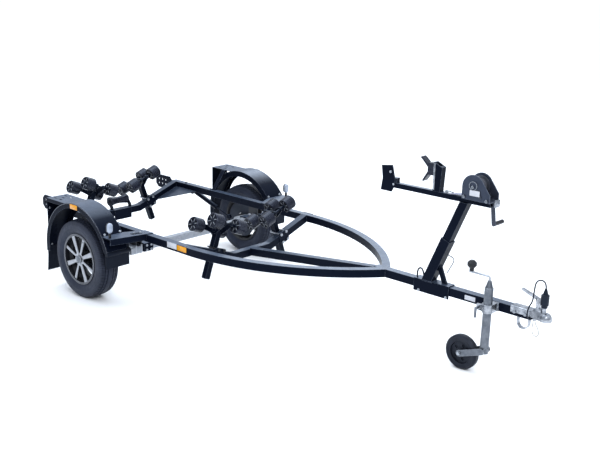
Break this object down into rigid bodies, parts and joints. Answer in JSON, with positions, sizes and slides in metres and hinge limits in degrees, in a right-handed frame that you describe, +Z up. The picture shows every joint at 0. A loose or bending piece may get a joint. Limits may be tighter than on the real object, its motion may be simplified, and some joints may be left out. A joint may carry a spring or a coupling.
{
  "type": "boat trailer",
  "caption": "Boat trailer with rocking roller cradles, winch post, jockey wheel and ball coupling.",
  "frame": {"origin": "on the ground under the middle of the trailer's length and width", "axes": "+X forward to the coupling, +Y to the trailer's left, +Z up"},
  "size_m": [3.9452, 1.7186, 1.1511],
  "materials": {
    "black_coat": "satin",
    "galvanised": "matte",
    "zinc_steel": "satin",
    "cast_alloy": "machined",
    "tyre_rubber": "matte",
    "grey_rubber": "matte",
    "roller_rubber": "matte",
    "flap_rubber": "matte",
    "clear_lens": "gloss",
    "amber_lens": "gloss",
    "black_plastic": "matte"
  },
  "bodies": {
    "frame": {"drawbar": "black_coat", "rail_left": "black_coat", "rail_right": "black_coat", "keel_beam": "black_coat", "cross_member_front": "black_coat", "cross_member_rear": "black_coat", "rail_end_plates": "black_coat", "axle_tube": "galvanised", "axle_mounts": "black_coat", "axle_arms": "galvanised", "dampers": "black_coat", "mudguard_left": "black_coat", "mudguard_right": "black_coat", "mud_flaps": "flap_rubber", "outriggers": "black_coat", "marker_lamps": "clear_lens", "side_reflectors": "amber_lens", "keel_roller_bracket": "black_coat", "cradle_posts": "black_coat", "clamp_plates": "black_coat", "post_bolts": "zinc_steel", "post_base": "black_coat", "mast": "black_coat", "stop_plates": "black_coat", "catch_fork": "roller_rubber", "winch_frame": "black_coat", "coupling": "zinc_steel", "coupling_lever": "zinc_steel", "chain_loop": "zinc_steel", "plug": "black_plastic", "plug_cable": "black_plastic", "safety_cable": "zinc_steel", "jockey_tube": "zinc_steel", "jockey_crank": "black_coat", "jockey_clamp": "zinc_steel", "jockey_handle": "black_plastic"},
    "wheel_left": {"tyre_left": "tyre_rubber", "rim_left": "cast_alloy"},
    "wheel_right": {"tyre_right": "tyre_rubber", "rim_right": "cast_alloy"},
    "jockey_leg": {"jockey_leg": "zinc_steel"},
    "jockey_fork": {"jockey_fork": "zinc_steel"},
    "jockey_wheel": {"jockey_wheel": "grey_rubber"},
    "winch_crank": {"winch_crank": "zinc_steel"},
    "winch_drum": {"winch_drum": "zinc_steel"},
    "keel_roller": {"keel_roller": "roller_rubber"},
    "rocker_front_left": {"rocker_front_left": "black_coat"},
    "rollers_front_fore_left": {"rollers_front_fore_left": "roller_rubber"},
    "rollers_front_aft_left": {"rollers_front_aft_left": "roller_rubber"},
    "rocker_front_right": {"rocker_front_right": "black_coat"},
    "rollers_front_fore_right": {"rollers_front_fore_right": "roller_rubber"},
    "rollers_front_aft_right": {"rollers_front_aft_right": "roller_rubber"},
    "rocker_rear_left": {"rocker_rear_left": "black_coat"},
    "rollers_rear_fore_left": {"rollers_rear_fore_left": "roller_rubber"},
    "rollers_rear_aft_left": {"rollers_rear_aft_left": "roller_rubber"},
    "rocker_rear_right": {"rocker_rear_right": "black_coat"},
    "rollers_rear_fore_right": {"rollers_rear_fore_right": "roller_rubber"},
    "rollers_rear_aft_right": {"rollers_rear_aft_right": "roller_rubber"}
  },
  "joints": [
    {"name": "wheel_left_spin", "type": "hinge", "parent": "frame", "child": "wheel_left", "pos_m": [-1.09292, 0.768, 0.275], "axis": [0, 1, 0], "continuous": true},
    {"name": "wheel_right_spin", "type": "hinge", "parent": "frame", "child": "wheel_right", "pos_m": [-1.09292, -0.768, 0.275], "axis": [0, 1, 0], "continuous": true},
    {"name": "jockey_leg_slide", "type": "slide", "parent": "frame", "child": "jockey_leg", "axis": [-0.03, 0, -0.9996], "range_m": [0, 0.19]},
    {"name": "jockey_fork_swivel", "type": "hinge", "parent": "jockey_leg", "child": "jockey_fork", "pos_m": [1.63487, -0.085, 0.16015], "axis": [0.03, 0, 0.9996], "continuous": true},
    {"name": "jockey_wheel_spin", "type": "hinge", "parent": "jockey_fork", "child": "jockey_wheel", "pos_m": [1.497, -0.085, 0.1], "axis": [0, 1, 0], "continuous": true},
    {"name": "winch_crank_turn", "type": "hinge", "parent": "frame", "child": "winch_crank", "pos_m": [1.53957, 0, 0.97816], "axis": [0, 1, 0], "continuous": true},
    {"name": "winch_drum_turn", "type": "hinge", "parent": "frame", "child": "winch_drum", "pos_m": [1.49185, 0, 1.02883], "axis": [0, 1, 0], "continuous": true},
    {"name": "keel_roller_spin", "type": "hinge", "parent": "frame", "child": "keel_roller", "pos_m": [-1.77317, 0, 0.44347], "axis": [0, 1, 0], "continuous": true},
    {"name": "rocker_front_left_rock", "type": "hinge", "parent": "frame", "child": "rocker_front_left", "pos_m": [-0.31566, 0.25845, 0.50528], "axis": [0.011, 0.9304, 0.3663], "range_deg": [-12, 40]},
    {"name": "rollers_front_fore_left_spin", "type": "hinge", "parent": "rocker_front_left", "child": "rollers_front_fore_left", "pos_m": [-0.24081, 0.23651, 0.55877], "axis": [0.011, 0.9304, 0.3663], "continuous": true},
    {"name": "rollers_front_aft_left_spin", "type": "hinge", "parent": "rocker_front_left", "child": "rollers_front_aft_left", "pos_m": [-0.41018, 0.25829, 0.50854], "axis": [0.011, 0.9304, 0.3663], "continuous": true},
    {"name": "rocker_front_right_rock", "type": "hinge", "parent": "frame", "child": "rocker_front_right", "pos_m": [-0.31566, -0.25845, 0.50528], "axis": [0.011, -0.9304, 0.3663], "range_deg": [-12, 40]},
    {"name": "rollers_front_fore_right_spin", "type": "hinge", "parent": "rocker_front_right", "child": "rollers_front_fore_right", "pos_m": [-0.24081, -0.23651, 0.55877], "axis": [0.011, -0.9304, 0.3663], "continuous": true},
    {"name": "rollers_front_aft_right_spin", "type": "hinge", "parent": "rocker_front_right", "child": "rollers_front_aft_right", "pos_m": [-0.41018, -0.25829, 0.50854], "axis": [0.011, -0.9304, 0.3663], "continuous": true},
    {"name": "rocker_rear_left_rock", "type": "hinge", "parent": "frame", "child": "rocker_rear_left", "pos_m": [-1.7803, 0.23045, 0.53927], "axis": [0.011, 0.9304, 0.3663], "range_deg": [-12, 40]},
    {"name": "rollers_rear_fore_left_spin", "type": "hinge", "parent": "rocker_rear_left", "child": "rollers_rear_fore_left", "pos_m": [-1.70545, 0.20851, 0.59276], "axis": [0.011, 0.9304, 0.3663], "continuous": true},
    {"name": "rollers_rear_aft_left_spin", "type": "hinge", "parent": "rocker_rear_left", "child": "rollers_rear_aft_left", "pos_m": [-1.87482, 0.23029, 0.54253], "axis": [0.011, 0.9304, 0.3663], "continuous": true},
    {"name": "rocker_rear_right_rock", "type": "hinge", "parent": "frame", "child": "rocker_rear_right", "pos_m": [-1.7803, -0.23045, 0.53927], "axis": [0.011, -0.9304, 0.3663], "range_deg": [-12, 40]},
    {"name": "rollers_rear_fore_right_spin", "type": "hinge", "parent": "rocker_rear_right", "child": "rollers_rear_fore_right", "pos_m": [-1.70545, -0.20851, 0.59276], "axis": [0.011, -0.9304, 0.3663], "continuous": true},
    {"name": "rollers_rear_aft_right_spin", "type": "hinge", "parent": "rocker_rear_right", "child": "rollers_rear_aft_right", "pos_m": [-1.87482, -0.23029, 0.54253], "axis": [0.011, -0.9304, 0.3663], "continuous": true}
  ],
  "couplings": [
    {"joint": "winch_drum_turn", "follows": "winch_crank_turn", "ratio": -0.3269}
  ]
}
